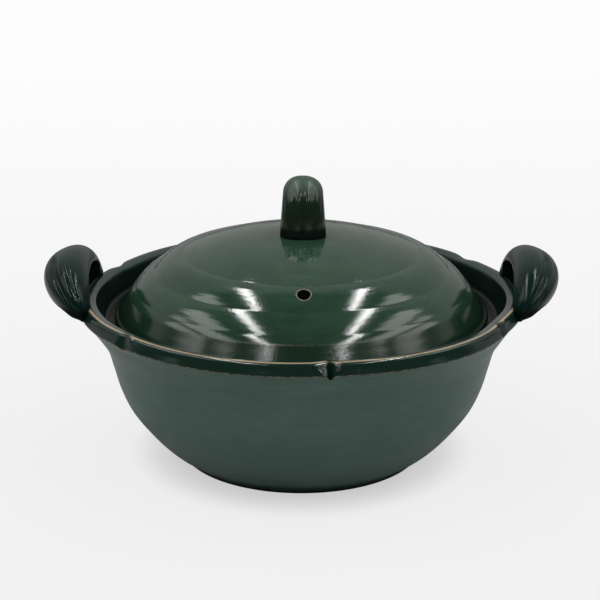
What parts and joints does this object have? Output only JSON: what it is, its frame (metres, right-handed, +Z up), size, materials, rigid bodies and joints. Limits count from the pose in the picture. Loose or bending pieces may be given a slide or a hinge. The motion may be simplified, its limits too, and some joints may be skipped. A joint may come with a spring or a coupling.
{
  "type": "donabe clay pot",
  "caption": "Round glazed clay pot with a domed lid, flared rim pressed in at intervals, strap loop handles on pot and lid, and a steam hole.",
  "frame": {"origin": "middle of the foot, on the surface that the pot stands on", "axes": "+Z up through the lid's handle, +X towards the right side handle, -Y towards the side with the steam hole"},
  "size_m": [0.305, 0.26, 0.1693],
  "materials": {
    "bowl_glaze": "satin blue-green glaze that breaks tan on the rim, bare dark clay on the foot and the ledge",
    "gloss_glaze": "glossy deep green glaze"
  },
  "bodies": {
    "pot": {"pot_body": "bowl_glaze", "left_handle": "gloss_glaze", "right_handle": "gloss_glaze"},
    "lid": {"lid": "gloss_glaze", "lid_handle": "gloss_glaze"}
  },
  "joints": [
    {"name": "lid_lift", "type": "slide", "parent": "pot", "child": "lid", "axis": [0, 0, 1], "range_m": [0, 0.1]}
  ]
}
